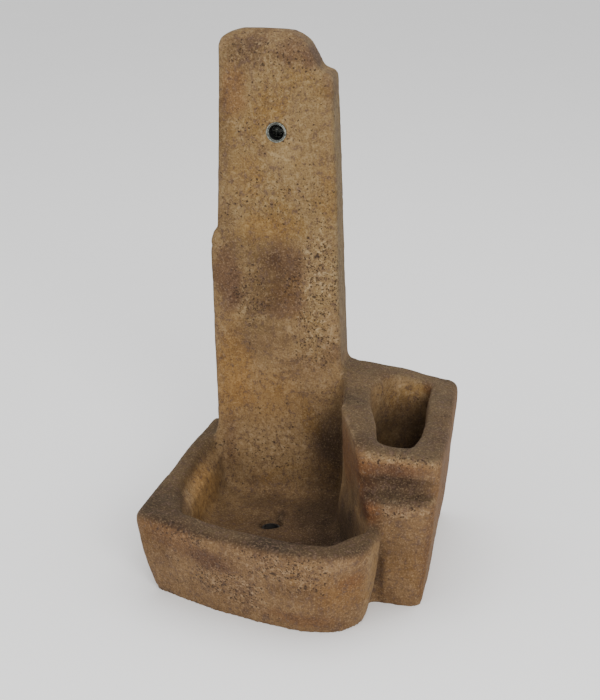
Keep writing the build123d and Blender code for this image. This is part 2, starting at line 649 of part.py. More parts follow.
with BuildPart() as cast_stone_body:
    # Basin mass, block steps and the block's sloping top
    loft(sections=[outline_at(Plane.XY, base_points, rim_radii), rim_outline], ruled=True)
    extrude(rim_outline, amount=RIM_BAND)
    add(block_step.part)
    loft(
        sections=[
            block_outline(Plane.XY, upper_front_y, 0, base_side_x),
            block_outline(band_plane, upper_front_y, 0, RIGHT_X),
            block_outline(crest_plane, upper_front_y, 0, RIGHT_X),
        ],
        ruled=True,
    )
    split(bisect_by=Plane(origin=top_origin, z_dir=Vector(*top_rise) * -1))

    # Worn outer edges: block top, rim and lower step
    block_top = cast_stone_body.faces().sort_by(Axis.Z)[-1]
    fillet(block_top.edges().sort_by(Axis.X)[1:], radius=BLOCK_TOP_ROUNDING)
    rim_edges = level_face(cast_stone_body, RIM_HEIGHT).edges()
    rim_front = rim_edges.filter_by_position(Axis.Y, FRONT_Y, ledge_front_y - RIM_ROUNDING)
    rim_left = rim_edges.sort_by(Axis.X)[:2]
    fillet(rim_front + rim_left, radius=RIM_ROUNDING)
    ledge = cast_stone_body.faces().filter_by_position(Axis.Z, STEP_HEIGHT, STEP_HEIGHT + LEDGE_RISE)
    fillet(ledge.sort_by(SortBy.AREA)[-1].edges().sort_by(Axis.Z)[0], radius=STEP_ROUNDING)

    # Hollow of the basin and pocket of the block
    loft(
        sections=[
            hollow_outline(FLOOR_HEIGHT, WALL_DRAFT),
            hollow_outline(RIM_HEIGHT, 0),
            hollow_outline(BLOCK_TOP_HEIGHT + OVERRUN, 0),
        ],
        ruled=True,
        mode=Mode.SUBTRACT,
    )
    rim_edges = level_face(cast_stone_body, RIM_HEIGHT).edges()
    rim_inner = rim_edges.filter_by_position(Axis.Y, FRONT_Y, face_y_at_rim).filter_by(
        lambda edge: rim_hollow.distance_to(edge.center()) < CORNER_LAP
    )
    fillet(rim_inner, radius=HOLLOW_ROUNDING)
    loft(
        sections=[
            outline_at(Plane.XY.offset(pocket_floor_height), pocket_floor_points, pocket_floor_radii),
            outline_at(Plane.XY.offset(BLOCK_TOP_HEIGHT), pocket_mouth_points, pocket_radii),
        ],
        ruled=True,
        mode=Mode.SUBTRACT,
    )
    block_top = cast_stone_body.faces().filter_by(GeomType.PLANE).sort_by(Axis.Z)[-1]
    fillet(block_top.inner_wires()[0].edges(), radius=POCKET_MOUTH_ROUNDING)
    fillet(level_face(cast_stone_body, pocket_floor_height).edges(), radius=POCKET_FLOOR_ROUNDING)

    # Column, and the roundings where it grows out of the floor and the block
    add(column.part)
    add(column_root.part)
    add(column_cove.part)
    fillet(level_face(cast_stone_body, FLOOR_HEIGHT).edges(), radius=FLOOR_ROUNDING)

    # Places of everything that is cast in
    add(water_way_space.part, mode=Mode.SUBTRACT)
    add(drain_space.part, mode=Mode.SUBTRACT)
    for space in bar_spaces:
        add(space, mode=Mode.SUBTRACT)
cast_stone_body.part.label = "cast_stone_body"
export_step(cast_stone_body.part, "parts/cast_stone_body.step")
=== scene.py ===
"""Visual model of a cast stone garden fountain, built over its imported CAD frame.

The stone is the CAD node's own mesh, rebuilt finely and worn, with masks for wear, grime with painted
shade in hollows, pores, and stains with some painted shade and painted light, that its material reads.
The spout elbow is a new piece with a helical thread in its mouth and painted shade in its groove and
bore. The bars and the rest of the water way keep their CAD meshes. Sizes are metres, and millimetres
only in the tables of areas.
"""

import logging
import math
from dataclasses import dataclass
from enum import Enum
from itertools import product
from typing import Sequence

import bmesh
import bpy
import numpy as np
from bpy.types import ID, Material, Mesh, Node, NodeSocket as Socket, Object
from mathutils import Matrix, Vector
from mathutils.bvhtree import BVHTree
from mathutils.kdtree import KDTree

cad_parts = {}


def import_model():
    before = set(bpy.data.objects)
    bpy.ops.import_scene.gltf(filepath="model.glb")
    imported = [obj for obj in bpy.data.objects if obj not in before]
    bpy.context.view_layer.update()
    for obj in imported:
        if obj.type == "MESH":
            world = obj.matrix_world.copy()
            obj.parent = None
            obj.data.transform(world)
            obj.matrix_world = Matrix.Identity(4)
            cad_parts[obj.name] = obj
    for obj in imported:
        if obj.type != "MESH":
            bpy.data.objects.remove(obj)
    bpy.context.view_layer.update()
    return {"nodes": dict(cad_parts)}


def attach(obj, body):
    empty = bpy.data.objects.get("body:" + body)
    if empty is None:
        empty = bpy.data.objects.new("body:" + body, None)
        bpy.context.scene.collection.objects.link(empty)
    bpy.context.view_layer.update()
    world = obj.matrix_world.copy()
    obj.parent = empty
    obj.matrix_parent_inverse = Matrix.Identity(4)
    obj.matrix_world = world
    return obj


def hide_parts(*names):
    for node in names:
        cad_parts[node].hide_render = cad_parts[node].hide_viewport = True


LOG = logging.getLogger("fountain")
Point = tuple[float, float, float]
Colour = tuple[float, float, float]
Span = tuple[float, float]
Array = np.ndarray
Value = float | Colour | Socket


class Body(Enum):
    """Names of the CAD bodies that pieces ride on."""

    ROOT = "root"


class Slot(Enum):
    """Names of the record's material slots."""

    STONE = "cast_stone"
    ZINC = "zinc_steel"


class StainAndShade(Enum):
    """Colours that weather gives the stone, and colours of painted shade and painted light, as linear
    factors on its base colour.
    """

    UMBER = (0.56, 0.52, 0.52)
    PURPLE = (0.52, 0.44, 0.50)
    # Painted shade with grime: in the basin, over the ledge and in the block's shadow on the column
    SHADE_WITH_GRIME = (0.34, 0.32, 0.33)
    OCHRE = (1.08, 0.93, 0.62)
    RUST = (0.78, 0.58, 0.46)
    PALE = (1.42, 1.50, 1.62)
    # Painted shade, greyer, on the crown's right flank
    GREY = (0.62, 0.74, 0.90)
    # Painted shade with dirt on up-facing surfaces
    OLIVE = (0.34, 0.36, 0.38)
    SIENNA = (0.60, 0.45, 0.34)
    # Darkens the front faces low down
    LOW_FRONT_DARKENING = (0.66, 0.60, 0.59)
    DUN = (0.89, 0.92, 0.86)


class Side(Enum):
    """The ways that a face of the stone can look, as an axis and its sign."""

    RIGHT = (0, 1.0)
    LEFT = (0, -1.0)
    FRONT = (1, -1.0)
    UP = (2, 1.0)


# Numbers and noise


def smoothstep(low: float, high: float, value: Array) -> Array:
    """Ramps smoothly from 0 at low to 1 at high."""
    t = np.clip((value - low) / (high - low), 0.0, 1.0)
    return t * t * (3.0 - 2.0 * t)


def lattice_hash(cells: Array, seed: int) -> Array:
    """A steady pseudo-random number from 0 to 1 for each integer cell."""
    a = cells.astype(np.int64)
    h = a[:, 0] * 374761393 + a[:, 1] * 668265263 + a[:, 2] * 2147483647 + seed * 1274126177
    h = (h ^ (h >> 13)) * 1274126177
    h = (h ^ (h >> 16)) & 0xFFFFFF
    return h / float(0xFFFFFF)


@dataclass(frozen=True)
class Noise:
    """A pattern of smooth bumps in layers, each half as wide and half as strong as the one before."""

    size: float
    layers: int
    seed: int

    def layer(self, points: Array, number: int) -> Array:
        """One layer's value from -1 to 1 at each point."""
        scaled = points / (self.size / 2**number)
        base = np.floor(scaled)
        t = scaled - base
        t = t * t * t * (t * (t * 6.0 - 15.0) + 10.0)
        total = np.zeros(len(points))
        for corner in product((0, 1), repeat=3):
            weight = np.where(corner, t, 1.0 - t)
            value = lattice_hash(base + np.array(corner), self.seed + number * 17)
            total += weight[:, 0] * weight[:, 1] * weight[:, 2] * value
        return total * 2.0 - 1.0

    def at(self, points: Array) -> Array:
        """The whole pattern's value from -1 to 1 at each point."""
        total = np.zeros(len(points))
        for number in range(self.layers):
            total += 0.5**number * self.layer(points, number)
        return total / (2.0 - 2.0 * 0.5**self.layers)


# Node helpers


class Graph:
    """Lays out the nodes of one material."""

    def __init__(self, name: str) -> None:
        """Starts an empty material with an output and a shader."""
        self.material = bpy.data.materials.new(name)
        self.material.use_nodes = True
        self.tree = self.material.node_tree
        self.tree.nodes.clear()
        output = self.node("OutputMaterial")
        self.shader = self.node("BsdfPrincipled")
        self.plug(self.shader.outputs[0], output.inputs["Surface"])
        self.coords = self.node("TexCoord").outputs["Object"]

    def plug(self, value: Value, target: Socket) -> None:
        """Gives a socket a number, a colour or another socket."""
        if isinstance(value, Socket):
            self.tree.links.new(value, target)
        elif isinstance(value, tuple) and target.type == "RGBA":
            target.default_value = (*value, 1.0)
        else:
            target.default_value = value

    def fill(self, node: Node, inputs: dict[str, Value]) -> None:
        """Gives a node's inputs their values, by names with underscores for spaces."""
        for name, value in inputs.items():
            self.plug(value, node.inputs[name.replace("_", " ")])

    def node(self, kind: str, **inputs: Value) -> Node:
        """Adds a node and fills its inputs."""
        made = self.tree.nodes.new(f"ShaderNode{kind}")
        self.fill(made, inputs)
        return made

    def noise(
        self, scale: float, detail: float, rough: float, warp: float = 0.0, at: Socket | None = None
    ) -> Socket:
        """A noise pattern's value from 0 to 1, with a scale in bumps per metre."""
        pattern = {"Scale": scale, "Detail": detail, "Roughness": rough, "Distortion": warp}
        return self.node("TexNoise", Vector=at or self.coords, **pattern).outputs["Fac"]

    def shaken(self, scale: float, share: float) -> Socket:
        """The object's coordinates, each moved a little by a noise pattern."""
        shake = self.node("TexNoise", Scale=scale, Detail=3.0, Vector=self.coords)
        return self.mix(share, self.coords, shake.outputs["Color"])

    def stretched(self, scale: Point) -> Socket:
        """The object's coordinates, each axis scaled by itself."""
        return self.node("Mapping", Scale=scale, Vector=self.coords).outputs["Vector"]

    def cells(self, scale: float, at: Socket | None = None) -> tuple[Socket, Socket]:
        """A cell pattern: distance to each cell's seed, and a random colour for each cell."""
        made = self.node("TexVoronoi", Scale=scale, Randomness=1.0, Vector=at or self.coords)
        return made.outputs["Distance"], made.outputs["Color"]

    def ramp(
        self, value: Socket, low: float, high: float, to_low: float = 0.0, to_high: float = 1.0
    ) -> Socket:
        """Maps a value smoothly from one range to another."""
        limits = {"From_Min": low, "From_Max": high, "To_Min": to_low, "To_Max": to_high}
        made = self.node("MapRange", Value=value, **limits)
        made.interpolation_type = "SMOOTHSTEP"
        return made.outputs["Result"]

    def math(self, kind: str, a: Value, b: Value) -> Socket:
        """One arithmetic step between two values."""
        made = self.node("Math")
        made.operation = kind
        self.plug(a, made.inputs[0])
        self.plug(b, made.inputs[1])
        return made.outputs[0]

    def times(self, a: Value, b: Value) -> Socket:
        """The product of two values."""
        return self.math("MULTIPLY", a, b)

    def mix(self, factor: Value, a: Value, b: Value, blend: str = "MIX") -> Socket:
        """Mixes two colours."""
        made = self.node("Mix")
        made.data_type = "RGBA"
        made.blend_type = blend
        self.plug(factor, made.inputs[0])
        self.plug(a, made.inputs[6])
        self.plug(b, made.inputs[7])
        return made.outputs[2]

    def tone(self, colour: Value, pattern: Socket, span: Span, most: float, over: Value) -> Socket:
        """Lays a colour over another as a pattern runs through a span, up to a greatest share."""
        return self.mix(self.ramp(pattern, *span, 0.0, most), colour, over)

    def bands(self, value: Socket, stops: Sequence[tuple[float, Colour]]) -> Socket:
        """A colour ramp through several stops."""
        made = self.node("ValToRGB", Fac=value)
        elements = made.color_ramp.elements
        while len(elements) < len(stops):
            elements.new(0.5)
        for element, (place, colour) in zip(elements, stops):
            element.position = place
            element.color = (*colour, 1.0)
        return made.outputs["Color"]

    def attribute(self, name: str) -> Socket:
        """A mesh attribute's colour."""
        made = self.node("Attribute")
        made.attribute_name = name
        return made.outputs["Color"]

    def split(self, colour: Socket) -> tuple[Socket, Socket, Socket]:
        """The three channels of a colour."""
        made = self.node("SeparateColor", Color=colour)
        return made.outputs[0], made.outputs[1], made.outputs[2]

    def bump(self, height: Socket, depth: float, strength: float) -> None:
        """Gives the shader small relief, with a depth in metres."""
        made = self.node("Bump", Height=height, Distance=depth, Strength=strength)
        self.plug(made.outputs["Normal"], self.shader.inputs["Normal"])

    def finish(self, colour: Value, rough: Value, **sockets: float) -> Material:
        """Sets the shader's colour, roughness and other inputs, and returns the material."""
        self.fill(self.shader, {"Base_Color": colour, "Roughness": rough, **sockets})
        return self.material


# Finishes


@dataclass(frozen=True)
class StoneFinish:
    """Tan cast stone with ochre, brown and purple-brown mottling, pores and pale grains."""

    name: str = "weathered_stone_painted_shade"
    tan: Colour = (0.176, 0.106, 0.046)
    ochre: Colour = (0.160, 0.088, 0.028)
    brown: Colour = (0.108, 0.061, 0.029)
    purple: Colour = (0.076, 0.045, 0.031)
    pale: Colour = (0.330, 0.232, 0.130)
    # Dark grains, and grime with painted shade in corners and dips
    grime_and_shade: Colour = (0.020, 0.013, 0.009)
    pit: Colour = (0.026, 0.015, 0.009)
    streak_length: float = 0.34
    small_pits: Span = (360.0, 0.60)
    large_pits: Span = (150.0, 0.34)
    pit_shake: float = 0.0045
    pit_rim: Span = (-0.05, 0.09)
    relief: float = 0.0016

    def pits(self, g: Graph, scale: float, largest: float, density: Socket) -> Socket:
        """Uneven pores, one at most in each cell of a pattern.

        Args:
            g: The material's graph.
            scale: Cells per metre.
            largest: The largest pore's radius, as a share of a cell.
            density: A socket from 0 to 1 that says how many cells have a pore.

        Returns:
            A socket that is 1 inside the pores.
        """
        distance, random = g.cells(scale, g.shaken(scale * 1.3, self.pit_shake))
        share, other, _ = g.split(random)
        radius = g.times(g.math("POWER", share, 1.2), largest)
        hole = g.ramp(g.math("SUBTRACT", radius, distance), *self.pit_rim)
        chosen = g.ramp(g.math("SUBTRACT", density, other), -0.04, 0.04)
        return g.times(hole, chosen)

    def build(self) -> Material:
        """Builds the material, which reads the masks and the tints on its mesh, painted shade among them.
        """
        g = Graph(self.name)
        wear, hollow_shade_and_grime, pitted = g.split(g.attribute("masks"))
        tint = g.attribute("stain_and_shade")
        patch = g.noise(30.0, 6.0, 0.70, 0.6)
        grain = g.noise(430.0, 3.0, 0.65)

        # Colours from wide bands to single grains
        stops = [(0.32, self.brown), (0.44, self.tan), (0.56, self.tan), (0.68, self.ochre)]
        colour = g.bands(g.noise(9.0, 5.0, 0.62, 0.8), stops)
        colour = g.tone(colour, patch, (0.53, 0.70), 0.70, self.brown)
        colour = g.tone(colour, patch, (0.45, 0.30), 0.40, self.ochre)
        colour = g.mix(1.0, colour, tint, "MULTIPLY")
        streak = g.noise(150.0, 4.0, 0.70, 0.5, g.stretched((1.0, 1.0, self.streak_length)))
        colour = g.tone(colour, streak, (0.52, 0.67), 0.46, self.purple)
        freckle = g.noise(130.0, 4.0, 0.72, 0.3)
        pale_share = g.math("ADD", g.times(pitted, 0.40), 0.30)
        pale_freckle = g.times(g.ramp(freckle, 0.50, 0.66), pale_share)
        colour = g.mix(pale_freckle, colour, g.mix(1.0, self.pale, tint, "MULTIPLY"))
        colour = g.tone(colour, freckle, (0.48, 0.35), 0.72, self.purple)
        colour = g.tone(colour, grain, (0.52, 0.68), 0.26, self.pale)
        colour = g.tone(colour, grain, (0.48, 0.33), 0.40, self.grime_and_shade)

        # Worn edges, and grime with painted shade in corners and dips
        broken = g.ramp(g.noise(110.0, 5.0, 0.78, 0.4), 0.40, 0.60, 0.05, 1.0)
        colour = g.mix(g.times(g.times(wear, broken), 0.42), colour, self.pale)
        blotch = g.ramp(g.noise(48.0, 5.0, 0.7, 0.6), 0.30, 0.66, 0.60, 1.0)
        colour = g.mix(g.times(hollow_shade_and_grime, blotch), colour, self.grime_and_shade)

        # Pores, and the relief of all of it
        cluster = g.ramp(g.noise(22.0, 4.0, 0.65, 0.6), 0.50, 0.70, 0.00, 0.20)
        density = g.math("ADD", cluster, g.times(pitted, 0.80))
        small = self.pits(g, *self.small_pits, density)
        large = self.pits(g, *self.large_pits, g.times(density, 0.34))
        colour = g.mix(g.times(g.math("MAXIMUM", small, large), 0.80), colour, self.pit)
        height = g.times(g.noise(95.0, 6.0, 0.66), 0.55)
        height = g.math("ADD", height, g.times(grain, 0.22))
        height = g.math("SUBTRACT", height, g.times(small, 0.55))
        height = g.math("SUBTRACT", height, large)
        g.bump(height, self.relief, 0.8)
        rough = g.ramp(patch, 0.25, 0.75, 0.80, 0.95)
        return g.finish(colour, rough, Specular_IOR_Level=0.22)


@dataclass(frozen=True)
class ZincFinish:
    """Dull zinc plating with a faint spangle and stone dust in its dips."""

    name: str = "dull_zinc"
    light: Colour = (0.25, 0.26, 0.23)
    dark: Colour = (0.09, 0.10, 0.09)
    dust: Colour = (0.12, 0.10, 0.07)
    relief: float = 0.0002

    def build(self) -> Material:
        """Builds the material."""
        g = Graph(self.name)
        _, random = g.cells(420.0)
        spangle, _, _ = g.split(random)
        colour = g.tone(self.dark, spangle, (0.1, 0.9), 1.0, self.light)
        colour = g.tone(colour, g.noise(240.0, 5.0, 0.7, 0.4), (0.50, 0.66), 0.6, self.dust)
        g.bump(g.noise(900.0, 3.0, 0.6), self.relief, 0.4)
        rough = g.ramp(g.noise(300.0, 4.0, 0.6), 0.35, 0.65, 0.34, 0.58)
        return g.finish(colour, rough, Metallic=0.85)


@dataclass(frozen=True)
class CoatedFinish:
    """A base colour under a patchy coat, which is rougher, with fine relief over both.

    The patches and the grain are noise patterns: scale, detail, roughness and, for patches, warp.
    """

    name: str
    base: Colour
    coat: Colour
    patches: tuple[float, float, float, float]
    span: Span
    cover: Span
    grain: tuple[float, float, float]
    relief: tuple[float, float]
    rough: Span
    metallic: float = 0.0
    specular: float = 0.5

    def build(self) -> Material:
        """Builds the material."""
        g = Graph(self.name)
        share = g.ramp(g.noise(*self.patches), *self.span, *self.cover)
        g.bump(g.noise(*self.grain), *self.relief)
        colour = g.mix(share, self.base, self.coat)
        rough = g.ramp(share, *self.cover, *self.rough)
        return g.finish(colour, rough, Metallic=self.metallic, Specular_IOR_Level=self.specular)


# Painted shade: a near-black lining with faint patches, inside the water way and in the collar's groove
PAINTED_SHADE_BORE = CoatedFinish(
    "painted_shade_bore", base=(0.0015, 0.0018, 0.0018), coat=(0.0040, 0.0040, 0.0028),
    patches=(260.0, 4.0, 0.6, 0.3), span=(0.45, 0.60), cover=(0.0, 1.0), grain=(500.0, 3.0, 0.6),
    relief=(0.0002, 0.4), rough=(0.55, 0.85), specular=0.15,
)
# Dark mill scale with brown rust blooms, for the cast-in bars
SCALED_STEEL = CoatedFinish(
    "scaled_bar_steel", base=(0.060, 0.060, 0.066), coat=(0.200, 0.075, 0.030),
    patches=(120.0, 6.0, 0.7, 0.5), span=(0.45, 0.60), cover=(0.0, 1.0), grain=(700.0, 4.0, 0.7),
    relief=(0.0003, 0.6), rough=(0.50, 0.90), metallic=0.45,
)
# Dark grey moulded plastic with silt on it, made darker as painted shade inside the drain
GREY_PLASTIC_AND_SHADE = CoatedFinish(
    "grey_plastic_painted_shade", base=(0.012, 0.012, 0.013), coat=(0.030, 0.022, 0.015),
    patches=(160.0, 5.0, 0.7, 0.4), span=(0.45, 0.62), cover=(0.1, 0.8), grain=(1400.0, 2.0, 0.5),
    relief=(0.0001, 0.3), rough=(0.45, 0.85),
)


@dataclass(frozen=True)
class FloorFinish:
    """Pale, almost even studio floor."""

    name: str = "pale_floor"
    light: Colour = (0.93, 0.93, 0.93)
    shade: Colour = (0.91, 0.91, 0.91)

    def build(self) -> Material:
        """Builds the material."""
        g = Graph(self.name)
        colour = g.mix(g.noise(3.0, 2.0, 0.5), self.light, self.shade)
        return g.finish(colour, 0.9, Specular_IOR_Level=0.1)


# Mesh helpers


def object_from(name: str, data: ID) -> Object:
    """Puts a mesh, a lamp or a camera in the scene as a new object."""
    obj = bpy.data.objects.new(name, data)
    bpy.context.scene.collection.objects.link(obj)
    return obj


def give_material(obj: Object, material: Material) -> None:
    """Makes a material the only one of an object."""
    obj.data.materials.clear()
    obj.data.materials.append(material)


def shade_smooth(mesh: Mesh) -> None:
    """Shades every face of a mesh smooth."""
    mesh.polygons.foreach_set("use_smooth", np.ones(len(mesh.polygons), dtype=bool))
    mesh.update()


def axis_at(foot: Point, along: Point) -> Matrix:
    """The place of an upright axis moved to a foot point and turned to a direction."""
    turn = Vector((0.0, 0.0, 1.0)).rotation_difference(Vector(along)).to_matrix().to_4x4()
    return Matrix.Translation(Vector(foot)) @ turn


def ring(place: Matrix, height: float, radii: Sequence[float]) -> list[Vector]:
    """A loop of points round a placed axis, at one height, with a radius for each point."""
    angles = [2.0 * math.pi * side / len(radii) for side in range(len(radii))]
    return [place @ Vector((r * math.cos(a), r * math.sin(a), height)) for r, a in zip(radii, angles)]


def skinned(name: str, loops: Sequence[Sequence[Vector]], finishes: Sequence[int]) -> Mesh:
    """Spans faces between loops of points.

    Args:
        name: The mesh's name.
        loops: The loops in order, all with the same number of points.
        finishes: The material number of each band between two loops, where a band after the
            last loop leads back to the first.

    Returns:
        The mesh.
    """
    built = bmesh.new()
    corners = [[built.verts.new(point) for point in loop] for loop in loops]
    for number, finish in enumerate(finishes):
        first, second = corners[number], corners[(number + 1) % len(corners)]
        for side in range(len(first)):
            after = (side + 1) % len(first)
            face = built.faces.new((first[side], first[after], second[after], second[side]))
            face.material_index = finish
    bmesh.ops.recalc_face_normals(built, faces=built.faces)
    mesh = bpy.data.meshes.new(name)
    built.to_mesh(mesh)
    built.free()
    return mesh


def joined(name: str, meshes: Sequence[Mesh]) -> Object:
    """A new object with the faces of several meshes, of which those that nothing uses are removed."""
    built = bmesh.new()
    for mesh in meshes:
        built.from_mesh(mesh)
        if not mesh.users:
            bpy.data.meshes.remove(mesh)
    whole = bpy.data.meshes.new(name)
    built.to_mesh(whole)
    built.free()
    return object_from(name, whole)


def rows(items: bpy.types.bpy_prop_collection, name: str, width: int, kind: type = float) -> Array:
    """One property of a mesh's points, edges or faces, a row for each."""
    values = np.zeros(len(items) * width, dtype=kind)
    items.foreach_get(name, values)
    return values.reshape(-1, width)


class Skin:
    """Points, edges and normals of one mesh as arrays, for wearing and masking it."""

    def __init__(self, mesh: Mesh) -> None:
        """Reads the mesh."""
        self.mesh = mesh
        self.points = rows(mesh.vertices, "co", 3)
        edges = rows(mesh.edges, "vertices", 2, np.int64)
        self.starts = np.concatenate([edges[:, 0], edges[:, 1]])
        self.ends = np.concatenate([edges[:, 1], edges[:, 0]])
        self.valence = np.maximum(np.bincount(self.starts, minlength=len(self.points)), 1)

    def average(self, values: Array) -> Array:
        """The mean of each point's neighbours, for one or several columns of values."""
        count = len(self.valence)
        columns = values.reshape(count, -1).T
        sums = [np.bincount(self.starts, column[self.ends], count) for column in columns]
        return np.stack([total / self.valence for total in sums], 1).reshape(values.shape)

    def smoothed(self, values: Array, rounds: int, step: float = 0.5) -> Array:
        """Values after several rounds of moving towards their neighbours' mean."""
        for _ in range(rounds):
            values = values + step * (self.average(values) - values)
        return values

    def move(self, points: Array) -> None:
        """Moves the mesh's points to new places."""
        self.points = points
        self.mesh.vertices.foreach_set("co", points.ravel())
        self.mesh.update()

    def normals(self) -> Array:
        """The mesh's point normals."""
        return rows(self.mesh.vertices, "normal", 3)

    def store(self, name: str, colours: Array) -> None:
        """Keeps three numbers for each point as a colour attribute."""
        layer = self.mesh.attributes.new(name, "FLOAT_COLOR", "POINT")
        rgba = np.ones((len(self.points), 4))
        rgba[:, :3] = colours
        layer.data.foreach_set("color", rgba.ravel())


# Areas of the stone


def metres(lengths: Sequence[float]) -> Array:
    """Lengths from the tables, which are in millimetres, as metres."""
    return np.array(lengths) / 1000.0


# Where a zone's cover starts and where it is full, as shares of its reach
ZONE_EDGE = (1.15, 0.35)
# How far a ragged edge strays
ZONE_RAGGED = 0.45
# How much of a groove's radius is at full depth
GROOVE_FLOOR = 0.2


@dataclass(frozen=True)
class Zone:
    """A soft-edged area of the stone."""

    centre: Point
    reach: Point

    def cover(self, points: Array, ragged: Array | float = 0.0) -> Array:
        """How much each point lies in the zone, from 0 to 1, with an even or a ragged edge."""
        away = (points - metres(self.centre)) / metres(self.reach)
        return smoothstep(*ZONE_EDGE, np.sqrt((away**2).sum(1)) + ragged * ZONE_RAGGED)


@dataclass(frozen=True)
class Patch(Zone):
    """A tinted area: most are stains, some are painted shade with grime, and a few are painted light."""

    stain_and_shade: StainAndShade
    strength: float


@dataclass(frozen=True)
class PittedZone(Zone):
    """An area where the casting's skin is worn through to its pores."""

    density: float


@dataclass(frozen=True)
class Push(Zone):
    """An area that stands proud of the even form, or short of it."""

    shift: Point


@dataclass(frozen=True)
class Melt(Zone):
    """An area whose edges are worn rounder than elsewhere."""

    rounds: int


@dataclass(frozen=True)
class Groove:
    """A shallow hollow along a line."""

    start: Point
    end: Point
    radius: float
    depth: float

    def depth_at(self, points: Array) -> Array:
        """How deep the groove is at each point."""
        start, run = metres(self.start), metres(self.end) - metres(self.start)
        radius, depth = metres((self.radius, self.depth))
        along = np.clip(((points - start) @ run) / (run @ run), 0.0, 1.0)
        away = np.linalg.norm(points - (start + along[:, None] * run), axis=1)
        return smoothstep(radius, radius * GROOVE_FLOOR, away) * depth


@dataclass(frozen=True)
class Facing:
    """A tint on what looks one way, between limits: an axis, where it starts and where it is full. Most are
    painted shade, some with dirt.
    """

    stain_and_shade: StainAndShade
    strength: float
    side: Side
    turned: Span
    limits: tuple[tuple[int, float, float], ...]

    def cover(self, points: Array, normals: Array) -> Array:
        """How much each point takes the tint, from 0 to the strength."""
        axis, sign = self.side.value
        share = smoothstep(*self.turned, sign * normals[:, axis]) * self.strength
        for axis, start, full in self.limits:
            share = share * smoothstep(*metres((start, full)), points[:, axis])
        return share


# The stains of the crown and the column's face, from the top down, with the block's shadow painted low on
# the column's right
COLUMN_PATCHES = (
    Patch((-60, 150, 540), (300, 200, 300), StainAndShade.DUN, 1.0),
    Patch((-103, 155, 672), (36, 60, 24), StainAndShade.UMBER, 0.75),
    Patch((-66, 155, 686), (18, 50, 14), StainAndShade.PALE, 0.25),
    Patch((-42, 155, 672), (24, 60, 22), StainAndShade.PURPLE, 0.75),
    Patch((-10, 165, 668), (17, 70, 22), StainAndShade.PURPLE, 1.0),
    Patch((-120, 145, 622), (22, 40, 48), StainAndShade.RUST, 0.65),
    Patch((-132, 145, 560), (12, 40, 90), StainAndShade.UMBER, 0.6),
    Patch((-60, 143, 560), (36, 30, 40), StainAndShade.PALE, 0.3),
    Patch((13, 145, 628), (16, 40, 34), StainAndShade.PURPLE, 0.55),
    Patch((-66, 143, 600), (30, 40, 30), StainAndShade.OCHRE, 0.2),
    Patch((-48, 142, 528), (34, 30, 28), StainAndShade.PALE, 0.35),
    Patch((-100, 142, 500), (30, 30, 40), StainAndShade.OCHRE, 0.35),
    Patch((10, 142, 490), (20, 30, 60), StainAndShade.OCHRE, 0.25),
    Patch((-78, 139, 432), (52, 40, 24), StainAndShade.OCHRE, 0.6),
    Patch((-130, 140, 440), (14, 50, 30), StainAndShade.UMBER, 0.6),
    Patch((-46, 138, 388), (38, 40, 44), StainAndShade.PURPLE, 0.9),
    Patch((-131, 138, 366), (24, 50, 66), StainAndShade.PURPLE, 0.95),
    Patch((-92, 138, 404), (44, 40, 26), StainAndShade.UMBER, 0.55),
    Patch((-80, 137, 350), (56, 40, 56), StainAndShade.UMBER, 0.8),
    Patch((-50, 137, 326), (36, 40, 40), StainAndShade.PURPLE, 0.8),
    Patch((-84, 136, 276), (54, 40, 36), StainAndShade.UMBER, 0.6),
    Patch((2, 137, 352), (32, 40, 80), StainAndShade.PALE, 0.3),
    Patch((20, 135, 262), (22, 40, 22), StainAndShade.PURPLE, 0.45),
    Patch((-122, 135, 225), (30, 40, 85), StainAndShade.OCHRE, 0.8),
    Patch((-70, 134, 190), (55, 40, 50), StainAndShade.OCHRE, 0.45),
    Patch((-18, 134, 236), (36, 40, 24), StainAndShade.PURPLE, 0.3),
    Patch((-20, 133, 180), (40, 40, 40), StainAndShade.UMBER, 0.3),
    # The block's shadow, painted with grime, low on the column's right
    Patch((26, 132, 125), (34, 50, 66), StainAndShade.SHADE_WITH_GRIME, 1.0),
    Patch((12, 131, 100), (32, 40, 60), StainAndShade.UMBER, 0.8),
    Patch((-126, 132, 120), (12, 40, 60), StainAndShade.PURPLE, 0.5),
    Patch((-70, 132, 110), (70, 30, 40), StainAndShade.PALE, 0.3),
    Patch((-40, 120, 48), (120, 30, 20), StainAndShade.UMBER, 0.6),
)

